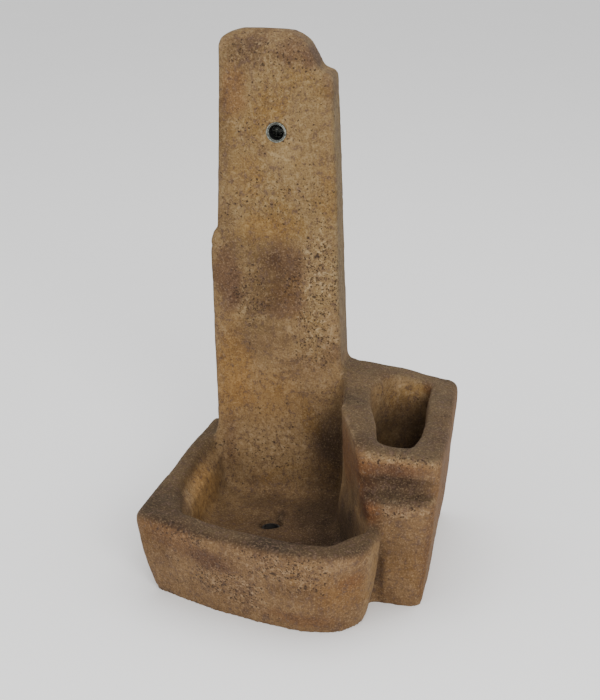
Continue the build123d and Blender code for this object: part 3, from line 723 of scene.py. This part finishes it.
# The stains of the basin, inside and then outside, with painted shade and grime inside, painted light on
# the inner left wall and a painted glint on the front
BASIN_PATCHES = (
    # Ochre stain, and pale painted light, on the basin's inner left wall
    Patch((-140, 20, 80), (34, 110, 36), StainAndShade.OCHRE, 0.9),
    Patch((-138, 20, 80), (30, 130, 36), StainAndShade.PALE, 0.9),
    Patch((-142, 0, 92), (24, 110, 20), StainAndShade.PALE, 0.35),
    # Painted shade with grime on the basin's floor
    Patch((-20, 0, 36), (170, 160, 22), StainAndShade.SHADE_WITH_GRIME, 0.5),
    Patch((-152, -36, 104), (10, 20, 12), StainAndShade.PALE, 0.8),
    Patch((-20, 0, 36), (150, 150, 18), StainAndShade.UMBER, 0.8),
    Patch((10, -60, 38), (110, 80, 26), StainAndShade.UMBER, 0.7),
    # Painted shade with grime inside the basin, on its right side and along the runnel
    Patch((50, 10, 50), (60, 140, 46), StainAndShade.SHADE_WITH_GRIME, 0.75),
    Patch((20, 80, 46), (55, 70, 34), StainAndShade.SHADE_WITH_GRIME, 0.55),
    Patch((-38, 54, 40), (11, 26, 14), StainAndShade.SHADE_WITH_GRIME, 0.9),
    Patch((70, -30, 75), (40, 110, 50), StainAndShade.SHADE_WITH_GRIME, 0.6),
    Patch((70, -20, 170), (34, 130, 50), StainAndShade.RUST, 0.9),
    Patch((-148, -150, 100), (60, 40, 28), StainAndShade.RUST, 0.45),
    Patch((-124, -165, 112), (36, 40, 10), StainAndShade.PALE, 0.35),
    Patch((-84, -172, 80), (46, 40, 18), StainAndShade.PURPLE, 0.95),
    Patch((-160, -140, 75), (30, 40, 36), StainAndShade.UMBER, 0.45),
    # A painted glint on the basin's front
    Patch((-118, -164, 84), (6, 12, 5), StainAndShade.PALE, 1.0),
    Patch((-140, -150, 45), (34, 40, 26), StainAndShade.PALE, 0.25),
    Patch((-56, -178, 48), (60, 44, 32), StainAndShade.PALE, 0.32),
    Patch((12, -196, 96), (90, 40, 28), StainAndShade.PALE, 0.32),
    Patch((22, -194, 62), (55, 30, 14), StainAndShade.UMBER, 0.4),
    Patch((90, -185, 60), (50, 50, 36), StainAndShade.OCHRE, 0.7),
    Patch((100, -178, 78), (22, 40, 14), StainAndShade.RUST, 0.6),
    Patch((86, -185, 106), (24, 30, 12), StainAndShade.PALE, 0.55),
    Patch((40, -190, 18), (60, 40, 14), StainAndShade.RUST, 0.6),
    Patch((10, -176, 120), (50, 24, 12), StainAndShade.PURPLE, 0.45),
    Patch((122, -96, 60), (11, 26, 80), StainAndShade.UMBER, 0.8),
)

# The stains of the planter block: front, top, pocket and sides, with painted shade and grime over the ledge
# and on the face towards the basin
BLOCK_PATCHES = (
    Patch((138, -60, 230), (90, 70, 26), StainAndShade.UMBER, 0.95),
    Patch((148, -86, 203), (52, 20, 10), StainAndShade.PALE, 0.25),
    Patch((140, -86, 187), (58, 22, 13), StainAndShade.PURPLE, 0.7),
    Patch((136, -86, 192), (58, 22, 13), StainAndShade.RUST, 0.6),
    # Painted shade with grime in the fold over the ledge
    Patch((138, -88, 168), (58, 30, 15), StainAndShade.SHADE_WITH_GRIME, 1.0),
    Patch((150, -105, 145), (50, 22, 12), StainAndShade.PALE, 0.55),
    Patch((113, -102, 134), (18, 24, 22), StainAndShade.RUST, 1.0),
    Patch((96, -86, 170), (22, 40, 60), StainAndShade.RUST, 0.85),
    Patch((100, -86, 150), (16, 30, 50), StainAndShade.UMBER, 0.6),
    Patch((150, -98, 45), (45, 30, 34), StainAndShade.PALE, 0.2),
    Patch((150, -100, 90), (30, 30, 22), StainAndShade.UMBER, 0.25),
    Patch((124, 164, 206), (36, 16, 20), StainAndShade.PALE, 1.0),
    Patch((153, 150, 206), (12, 20, 14), StainAndShade.RUST, 1.0),
    # Painted shade with grime on the block's face towards the basin
    Patch((125, 40, 105), (60, 140, 75), StainAndShade.SHADE_WITH_GRIME, 1.0),
    Patch((130, -20, 150), (50, 60, 80), StainAndShade.SHADE_WITH_GRIME, 0.8),
    Patch((130, 60, 130), (60, 140, 80), StainAndShade.SHADE_WITH_GRIME, 0.8),
    Patch((120, 160, 166), (50, 30, 30), StainAndShade.UMBER, 0.6),
    Patch((92, 150, 228), (18, 24, 12), StainAndShade.RUST, 0.55),
    Patch((188, 50, 150), (20, 150, 80), StainAndShade.RUST, 0.45),
)

# Where pores lie close together
PITTED_ZONES = (
    PittedZone((0, 137, 345), (48, 50, 105), 1.0),
    PittedZone((-94, 137, 342), (34, 40, 52), 1.0),
    PittedZone((-60, 142, 480), (80, 50, 70), 0.3),
    PittedZone((-70, 155, 670), (75, 60, 34), 0.55),
    PittedZone((-60, 143, 600), (80, 50, 60), 0.2),
    PittedZone((-70, 134, 110), (80, 50, 40), 0.35),
    PittedZone((-56, -178, 48), (66, 50, 34), 1.0),
    PittedZone((10, -194, 94), (100, 50, 34), 1.0),
    PittedZone((-130, -160, 108), (50, 40, 12), 0.8),
    PittedZone((148, -86, 203), (54, 22, 11), 0.9),
    PittedZone((150, -105, 144), (52, 24, 14), 1.0),
    PittedZone((172, 40, 224), (16, 80, 14), 0.6),
)

# Where the rim, the nose, the block's and the pocket's corners and the column's foot are worn rounder
CASTING_MELTS = (
    Melt((-152, 20, 116), (32, 150, 24), 34),
    Melt((-20, -160, 116), (170, 34, 26), 30),
    Melt((94, -140, 116), (40, 70, 28), 36),
    Melt((96, -84, 195), (40, 44, 90), 44),
    Melt((140, -100, 146), (80, 20, 14), 16),
    Melt((40, 85, 226), (22, 70, 22), 40),
    Melt((188, 196, 212), (36, 40, 50), 24),
    Melt((-40, 120, 46), (110, 35, 35), 60),
    Melt((128, -34, 190), (40, 36, 80), 36),
    Melt((158, 30, 190), (18, 110, 80), 26),
    Melt((-165, -120, 8), (30, 40, 30), 30),
)

# Where the casting stands proud of its even form, or short of it, by a few millimetres
CASTING_PUSHES = (
    Push((20, 170, 450), (60, 80, 750), (2.5, 0, 0)),
    Push((-140, 170, 560), (60, 80, 500), (-2.2, 0, 0)),
    Push((-2, 170, 668), (20, 60, 30), (2, 0, 0)),
    Push((-147, 150, 416), (14, 60, 14), (-3.5, 0, 0)),
    Push((190, 80, 190), (50, 240, 140), (5, 0, 0)),
    Push((90, 180, 222), (60, 100, 30), (0, 0, 4)),
    Push((185, -20, 60), (50, 160, 120), (3, 0, 0)),
    Push((-185, -80, 100), (50, 120, 110), (-3, 0, 0)),
    Push((20, -190, 0), (60, 30, 30), (0, 3, 0)),
    Push((112, -140, 80), (30, 56, 110), (8.5, 0, 0)),
    Push((-150, 30, 118), (24, 150, 30), (-10, 0, 0)),
    Push((-158, 190, 112), (30, 50, 30), (1.5, 0, 1)),
    Push((82, -140, 110), (30, 35, 50), (-4, 8, 0)),
    Push((72, -200, 4), (50, 30, 26), (-4, 4, 0)),
    Push((40, 85, 170), (26, 80, 110), (5.5, 0, 0)),
    Push((86, 164, 205), (32, 50, 80), (12, -6, 0)),
    Push((160, 140, 200), (22, 80, 90), (-4, 0, 0)),
    Push((130, -30, 220), (34, 40, 60), (-3.5, 0, 0)),
    Push((190, -20, 170), (30, 140, 140), (3.5, 0, 0)),
    Push((-178, 80, 100), (40, 70, 100), (-2.5, 0, 0)),
    Push((-190, -130, 30), (40, 50, 80), (-2, 0, 0)),
)

# The folds over the ledge and beside the basin's nose, and the runnel at the drain
CASTING_GROOVES = (
    Groove((84, -84, 164), (180, -84, 164), 18, 5),
    Groove((121, -94, 0), (119, -97, 120), 10, 2.8),
    Groove((-47, 34, 40), (-44, 74, 40), 7, 4),
    Groove((-52, 28, 40), (-42, 36, 40), 19, 4),
)

# Tints by the way a face looks: painted shade with dirt on what looks up, painted shade on the crown's
# right flank, a darker brown on the block's right side, painted shade on what looks to the left, darkening
# low on the front, and painted shade with dirt on the basin's lip
FACINGS = (
    # Painted shade with dirt on what looks up, the rims and the block's top
    Facing(StainAndShade.OLIVE, 1.0, Side.UP, (0.15, 0.70), ((2, 95, 115), (2, 300, 260))),
    # Painted shade on the crown's right flank
    Facing(StainAndShade.GREY, 0.7, Side.RIGHT, (0.35, 0.85), ((2, 220, 270),)),
    Facing(StainAndShade.SIENNA, 0.75, Side.RIGHT, (0.35, 0.85), ((2, 260, 220), (0, 150, 170))),
    # Painted shade on what looks to the left
    Facing(StainAndShade.UMBER, 0.6, Side.LEFT, (0.35, 0.85), ((2, 120, 200),)),
    # Darker low on what looks to the front
    Facing(StainAndShade.LOW_FRONT_DARKENING, 1.0, Side.FRONT, (0.20, 0.60), ((2, 210, 160), (1, 0, -60))),
    # Painted shade with dirt on the basin's front lip
    Facing(StainAndShade.UMBER, 0.75, Side.UP, (0.10, 0.50), ((2, 210, 160), (1, 0, -60), (2, 140, 120))),
)


# The stone


@dataclass(frozen=True)
class WeatheringAndShade:
    """The masks of wear, of grime with painted shade in corners and dips, and of pores, and the stains with
    painted shade and light, that the stone's material reads.
    """

    patches: tuple[Patch, ...] = COLUMN_PATCHES + BASIN_PATCHES + BLOCK_PATCHES
    pitted: tuple[PittedZone, ...] = PITTED_ZONES
    facings: tuple[Facing, ...] = FACINGS
    even_rounds: int = 14
    bulge_rounds: int = 2
    worn_edge: Span = (0.0005, 0.0022)
    filled_dip: Span = (0.0004, 0.0020)
    shut_in: Span = (0.62, 0.16)
    shaded: Span = (0.95, 0.5)
    shut_shade_and_grime: float = 0.36
    dip_shade_and_grime: float = 0.35
    most_shade_and_grime: float = 0.9
    samples: int = 9000
    rays: int = 28
    ray_seed: int = 5
    ray_reach: float = 0.35
    ray_lift: float = 0.002
    nearest: int = 3
    sky_rounds: int = 6
    pit_edge: Noise = Noise(0.045, 4, 101)
    loose_pits: Noise = Noise(0.070, 3, 131)
    loose_span: Span = (0.35, 0.75)
    loose_density: float = 0.5
    facing_rounds: int = 50
    patch_edge: float = 0.030
    patch_seed: int = 211
    uneven: Noise = Noise(0.060, 3, 401)
    uneven_cover: Span = (0.60, 1.10)

    def openness(self, skin: Skin) -> Array:
        """How much of the sky each point sees, from rays at a thinned set of points.

        Args:
            skin: The stone's points.

        Returns:
            A number from 0, shut in, to 1, open, for each point.
        """
        points, normals = skin.points, skin.normals()
        skin.mesh.calc_loop_triangles()
        triangles = rows(skin.mesh.loop_triangles, "vertices", 3, np.int64).tolist()
        tree = BVHTree.FromPolygons(points.tolist(), triangles, all_triangles=True)
        rng = np.random.default_rng(self.ray_seed)
        chosen = rng.choice(len(points), size=min(self.samples, len(points)), replace=False)
        rays = rng.normal(size=(self.rays, 3))
        rays /= np.linalg.norm(rays, axis=1)[:, None]
        finder = KDTree(len(chosen))
        seen = np.zeros(len(chosen))
        for number, index in enumerate(chosen):
            origin = Vector(points[index] + normals[index] * self.ray_lift)
            clear, total = 0.0, 0.0
            for ray in rays:
                facing = float(ray @ normals[index])
                direction, facing = (ray, facing) if facing > 0.0 else (-ray, -facing)
                total += facing
                if tree.ray_cast(origin, Vector(direction), self.ray_reach)[0] is None:
                    clear += facing
            seen[number] = clear / max(total, 1e-6)
            finder.insert(Vector(points[index]), number)
        finder.balance()
        open_share = np.zeros(len(points))
        for index, place in enumerate(points):
            found = finder.find_n(place, self.nearest)
            weights = [1.0 / (distance + self.ray_lift) for _, _, distance in found]
            values = [seen[number] for _, number, _ in found]
            open_share[index] = float(np.dot(weights, values) / sum(weights))
        return open_share

    def pores(self, points: Array) -> Array:
        """How far the skin is worn through to its pores at each point, from 0 to 1."""
        ragged = self.pit_edge.at(points)
        loose = smoothstep(*self.loose_span, self.loose_pits.at(points)) * self.loose_density
        zones = [zone.density * zone.cover(points, ragged) for zone in self.pitted]
        return np.maximum.reduce([loose, *zones])

    def stains_and_shade(self, points: Array, normals: Array) -> Array:
        """The colour factor of stains, painted shade and painted light at each point: patches first, then
        the way it faces.
        """
        covers = []
        for number, patch in enumerate(self.patches):
            edge = Noise(self.patch_edge, 3, self.patch_seed + number * 7).at(points)
            covers.append(patch.strength * patch.cover(points, edge))
        low, high = self.uneven_cover
        uneven = (low + high) / 2.0 + (high - low) / 2.0 * self.uneven.at(points)
        covers += [facing.cover(points, normals) * uneven for facing in self.facings]
        factor = np.ones((len(points), 3))
        for area, cover in zip(self.patches + self.facings, covers):
            factor *= 1.0 + cover[:, None] * (np.array(area.stain_and_shade.value) - 1.0)
        return factor

    def write(self, mesh: Mesh) -> None:
        """Writes the masks for wear, grime with painted shade, and pores, and the stains with painted shade
        and light, on the stone's mesh.
        """
        skin = Skin(mesh)
        normals = skin.normals()
        even = skin.smoothed(skin.points, self.even_rounds)
        bulge = skin.smoothed(((skin.points - even) * normals).sum(1), self.bulge_rounds)
        wear = smoothstep(*self.worn_edge, bulge)
        sky = skin.smoothed(self.openness(skin), self.sky_rounds)
        # Painted shade with grime: darker where a point sees little sky, and in dips that are shaded
        corners = self.shut_shade_and_grime * smoothstep(*self.shut_in, sky)
        dips = self.dip_shade_and_grime * smoothstep(*self.filled_dip, -bulge) * smoothstep(*self.shaded, sky)
        grime_and_shade = np.clip(corners + dips, 0.0, self.most_shade_and_grime)
        skin.store("masks", np.stack([wear, grime_and_shade, self.pores(skin.points)], 1))
        skin.store("stain_and_shade", self.stains_and_shade(skin.points, skin.smoothed(normals, self.facing_rounds)))


@dataclass(frozen=True)
class Plug:
    """A ring that closes the thin gap round a piece cast in at the stone's surface."""

    mouth: Point
    inward: Point
    outer: float
    depth: float
    inner: float = 0.0117
    sides: int = 48

    def build(self) -> Mesh:
        """Builds the ring's mesh."""
        place = axis_at(self.mouth, self.inward)
        section = [(self.inner, 0.0), (self.outer, 0.0), (self.outer, self.depth), (self.inner, self.depth)]
        loops = [ring(place, height, [radius] * self.sides) for radius, height in section]
        return skinned("plug", loops, [0] * len(loops))


@dataclass
class StoneCasting:
    """The one-piece cast stone body: column, basin and stepped planter block."""

    node: str = "cast_stone_body"
    voxel: float = 0.0026
    foot: float = 0.0012
    melt_rounds: int = 3
    even_rounds: int = 9
    even_back: float = 0.53
    swell: Noise = Noise(0.085, 2, 11)
    swell_height: float = 0.0011
    dimple: Noise = Noise(0.022, 3, 37)
    dimple_height: float = 0.00045
    crust: Noise = Noise(0.013, 2, 71)
    crust_start: float = 0.25
    crust_depth: float = 0.0011
    calm: Span = (0.015, 0.040)
    plugs: tuple[Plug, ...] = (
        Plug((-0.060, 0.1437, 0.566), (0.0, 1.0, 0.0), 0.0155, 0.030),
        Plug((-0.060, 0.1995, 0.078), (0.0, -1.0, 0.0), 0.0155, 0.030),
        Plug((-0.04693, 0.032, 0.0005), (0.0, 0.0, 1.0), 0.0135, 0.0325),
    )
    melts: tuple[Melt, ...] = CASTING_MELTS
    pushes: tuple[Push, ...] = CASTING_PUSHES
    grooves: tuple[Groove, ...] = CASTING_GROOVES
    weathering_and_shade: WeatheringAndShade = WeatheringAndShade()

    def rebuild(self, obj: Object) -> None:
        """Rebuilds the mesh evenly at the voxel size and keeps its outer shell alone."""
        remesh = obj.modifiers.new("even", "REMESH")
        remesh.mode = "VOXEL"
        remesh.voxel_size = self.voxel
        fine = bpy.data.meshes.new_from_object(obj.evaluated_get(bpy.context.evaluated_depsgraph_get()))
        obj.modifiers.clear()
        coarse, obj.data = obj.data, fine
        bpy.data.meshes.remove(coarse)
        fine.name = "stone_casting"
        self.keep_outer_shell(fine)

    def keep_outer_shell(self, mesh: Mesh) -> None:
        """Removes the closed channels of the bars, which nothing shows."""
        skin = Skin(mesh)
        label = np.arange(len(skin.points))
        while True:
            lower = label.copy()
            np.minimum.at(lower, skin.starts, label[skin.ends])
            lower = lower[lower]
            if np.array_equal(lower, label):
                break
            label = lower
        values, counts = np.unique(label, return_counts=True)
        inner = np.flatnonzero(label != values[counts.argmax()])
        built = bmesh.new()
        built.from_mesh(mesh)
        built.verts.ensure_lookup_table()
        bmesh.ops.delete(built, geom=[built.verts[int(i)] for i in inner], context="VERTS")
        built.to_mesh(mesh)
        built.free()

    def wear(self, mesh: Mesh) -> None:
        """Melts the edges and gives the faces a cast, slightly uneven surface."""
        skin = Skin(mesh)
        flat_foot = skin.points[:, 2] < self.foot
        points = skin.smoothed(skin.points, self.melt_rounds)
        for _ in range(self.even_rounds):
            points = skin.smoothed(points, 1)
            points = skin.smoothed(points, 1, -self.even_back)
        for melt in self.melts:
            soft = skin.smoothed(points, melt.rounds)
            points = points + melt.cover(points)[:, None] * (soft - points)
        for push in self.pushes:
            points = points + push.cover(points)[:, None] * metres(push.shift)
        skin.move(points)
        swell = self.swell.at(points) * self.swell_height
        dimple = self.dimple.at(points) * self.dimple_height
        crust = np.maximum(self.crust.at(points) - self.crust_start, 0.0) * self.crust_depth
        away = np.linalg.norm(points - np.array(self.plugs[0].mouth), axis=1)
        out = (swell + dimple - crust) * smoothstep(*self.calm, away)
        for groove in self.grooves:
            out -= groove.depth_at(points)
        points = points + skin.normals() * out[:, None]
        points[:, 2] = np.where(flat_foot, 0.0, np.maximum(points[:, 2], 0.0))
        skin.move(points)

    def build(self, source: Object, finish: Material) -> Object:
        """Builds the casting from the CAD node and gives it its finish."""
        obj = joined("stone_casting", [source.data, *(plug.build() for plug in self.plugs)])
        self.rebuild(obj)
        self.wear(obj.data)
        self.weathering_and_shade.write(obj.data)
        shade_smooth(obj.data)
        give_material(obj, finish)
        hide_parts(self.node)
        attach(obj, Body.ROOT.value)
        return obj


# Fittings


@dataclass
class SpoutSocket:
    """The zinc elbow's threaded mouth in the column's face, with the elbow behind it.

    The profile runs from the collar's outer foot over its face to the thread. Each pair is the
    distance inside the collar's radius and the depth behind its mouth.
    """

    node: str = "spout_elbow"
    centre: Point = (-0.060, 0.170171, 0.566)
    reach: float = 0.028
    collar_radius: float = 0.0139
    profile: tuple[Span, ...] = (
        (0.0, 0.0155), (0.0, 0.0005), (0.0005, 0.0), (0.0014, 0.0), (0.0017, 0.0012),
        (0.0022, 0.0012), (0.0026, 0.0004), (0.0029, 0.0008), (0.0035, 0.0018),
    )
    groove_face: int = 4
    sides: int = 72
    thread_root: float = 0.0104
    thread_crest: float = 0.0093155
    thread_length: float = 0.015
    thread_steps: int = 44
    pitch: float = 0.001814
    sink: float = 0.0018
    bore: float = 0.008
    bore_length: float = 0.006
    wall: float = 0.0122
    bend: float = 0.0125
    bend_start: float = 0.0005
    bend_steps: int = 12
    bend_sides: int = 40

    def thread_radii(self, down: float) -> list[float]:
        """The radius at each point of one loop, which rises and falls with the thread."""
        phase = (down / self.pitch + np.arange(self.sides) / self.sides) % 1.0
        ridge = 1.0 - np.abs(phase * 2.0 - 1.0)
        return (self.thread_root - (self.thread_root - self.thread_crest) * ridge).tolist()

    def collar(self, toward: Point) -> Mesh:
        """One collar with a narrow rim, a groove in its face and a helical thread inside.

        Args:
            toward: The direction of the collar's mouth, from the elbow's centre.

        Returns:
            The collar's mesh, whose groove, thread and bore have the second material, the painted shade.
        """
        place = axis_at(self.centre, toward)
        loops = []
        for inset, depth in self.profile:
            loops.append(ring(place, self.reach - depth, [self.collar_radius - inset] * self.sides))
        for step in range(1, self.thread_steps + 1):
            down = (self.thread_length - self.sink) * step / self.thread_steps
            loops.append(ring(place, self.reach - self.sink - down, self.thread_radii(down)))
        bore_start = self.reach - self.thread_length
        for height in (bore_start, bore_start - self.bore_length):
            loops.append(ring(place, height, [self.bore] * self.sides))
        # The groove, the thread and the bore take the painted shade
        dark = {self.groove_face, *range(len(self.profile) - 1, len(loops) - 1)}
        return skinned("collar", loops, [int(band in dark) for band in range(len(loops))])

    def tube(self, radius: float, finish: int) -> Mesh:
        """The elbow's bent tube between its collars, with the number of its finish."""
        end = -self.reach + self.thread_length + self.bend_start
        path = [Vector((0.0, end, 0.0))]
        for step in range(self.bend_steps + 1):
            angle = 0.5 * math.pi * step / self.bend_steps
            y, z = self.bend * math.sin(angle), self.bend * math.cos(angle)
            path.append(Vector((0.0, y - self.bend, z - self.bend)))
        path.append(Vector((0.0, 0.0, end)))
        across = Vector((1.0, 0.0, 0.0))
        loops = []
        for before, spot, after in zip(path[:1] + path, path, path[1:] + path[-1:]):
            along = (after - before).normalized()
            turn = Matrix((across, along.cross(across), along)).transposed().to_4x4()
            place = Matrix.Translation(Vector(self.centre) + spot) @ turn
            loops.append(ring(place, 0.0, [radius] * self.bend_sides))
        return skinned("tube", loops, [finish] * (len(loops) - 1))

    def build(self, finish: Material, shade_lining: Material) -> Object:
        """Builds the whole elbow as one piece in place of its CAD node."""
        collars = [self.collar((0.0, -1.0, 0.0)), self.collar((0.0, 0.0, -1.0))]
        tubes = [self.tube(self.wall, 0), self.tube(self.bore, 1)]
        obj = joined("spout_socket", collars + tubes)
        shade_smooth(obj.data)
        obj.data.materials.append(finish)
        # The second material is the painted shade in the groove, the thread and the bore
        obj.data.materials.append(shade_lining)
        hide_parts(self.node)
        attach(obj, Body.ROOT.value)
        return obj


@dataclass
class CastInPieces:
    """The CAD pieces that stay as they are, inside the stone, and their finishes."""

    steel_names: tuple[str, ...] = ("column_", "floor_", "basin_hoop", "planter_hoop")
    zinc_names: tuple[str, ...] = ("riser_pipe", "inlet_elbow")
    plastic_names: tuple[str, ...] = ("drain_sleeve",)

    def dress(self, nodes: dict[str, Object], zinc: Material) -> list[Object]:
        """Gives each kept CAD piece its material and returns the pieces."""
        pieces = []
        for names, material in (
            (self.steel_names, SCALED_STEEL.build()),
            (self.zinc_names, zinc),
            (self.plastic_names, GREY_PLASTIC_AND_SHADE.build()),
        ):
            for name, node in nodes.items():
                if name.startswith(names):
                    give_material(node, material)
                    pieces.append(node)
        return pieces


# Studio


@dataclass(frozen=True)
class Lamp:
    """A soft square lamp that points at a target."""

    name: str
    place: Point
    target: Point
    size: float
    power: float
    tone: Colour

    def build(self) -> None:
        """Adds the lamp to the scene."""
        data = bpy.data.lights.new(self.name, "AREA")
        data.shape = "SQUARE"
        data.size = self.size
        data.energy = self.power
        data.color = self.tone
        obj = object_from(self.name, data)
        obj.location = self.place
        aim = Vector(self.target) - Vector(self.place)
        obj.rotation_euler = aim.to_track_quat("-Z", "Y").to_euler()


@dataclass
class Studio:
    """Floor, lights and the camera at the reference view."""

    camera_place: Point = (0.35143, -1.80138, 0.98919)
    camera_pitch: float = 20.27
    camera_turn: float = 11.024
    focal_pixels: float = 1500.02
    frame_height: float = 700.0
    sensor: float = 36.0
    clip: Span = (0.05, 60.0)
    floor_half: float = 9.0
    lamps: tuple[Lamp, ...] = (
        Lamp("key", (1.3, -2.6, 1.5), (0.0, 0.0, 0.3), 1.4, 80.0, (1.0, 0.985, 0.96)),
        Lamp("fill", (-2.2, -2.0, 1.2), (0.0, 0.0, 0.3), 2.0, 16.0, (0.97, 0.985, 1.0)),
        Lamp("top", (0.2, 0.6, 3.2), (0.0, 0.0, 0.0), 2.6, 40.0, (1.0, 1.0, 1.0)),
    )
    world_light: float = 1.0

    def camera(self) -> None:
        """Sets the camera."""
        lens = bpy.data.cameras.new("camera")
        lens.sensor_width = self.sensor
        lens.sensor_fit = "AUTO"
        lens.lens = self.focal_pixels * self.sensor / self.frame_height
        lens.clip_start, lens.clip_end = self.clip
        obj = object_from("camera", lens)
        obj.location = self.camera_place
        pitch, turn = math.radians(90.0 - self.camera_pitch), math.radians(self.camera_turn)
        obj.rotation_euler = (pitch, 0.0, turn)
        bpy.context.scene.camera = obj

    def floor(self) -> None:
        """Lays the pale floor."""
        half = self.floor_half
        corners = [(-half, -half, 0.0), (half, -half, 0.0), (half, half, 0.0), (-half, half, 0.0)]
        mesh = bpy.data.meshes.new("floor")
        mesh.from_pydata(corners, [], [(0, 1, 2, 3)])
        obj = object_from("floor", mesh)
        give_material(obj, FloorFinish().build())

    def world(self) -> None:
        """Sets the even light from all round."""
        world = bpy.data.worlds.new("studio")
        world.use_nodes = True
        background = world.node_tree.nodes["Background"]
        background.inputs["Color"].default_value = (1.0, 1.0, 1.0, 1.0)
        background.inputs["Strength"].default_value = self.world_light
        bpy.context.scene.world = world

    def build(self) -> None:
        """Builds the whole studio."""
        self.camera()
        self.floor()
        for lamp in self.lamps:
            lamp.build()
        self.world()


def main() -> None:
    """Builds the fountain's visual model in order and reports its pieces."""
    logging.basicConfig(level=logging.INFO, format="%(name)s: %(message)s")
    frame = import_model()
    nodes = frame["nodes"]
    Studio().build()
    casting = StoneCasting()
    pieces = [casting.build(nodes[casting.node], StoneFinish().build())]
    zinc = ZincFinish().build()
    pieces.append(SpoutSocket().build(zinc, PAINTED_SHADE_BORE.build()))
    pieces += CastInPieces().dress(nodes, zinc)
    for piece in pieces:
        LOG.info("%s: %d points", piece.name, len(piece.data.vertices))


if __name__ == "__main__":
    main()
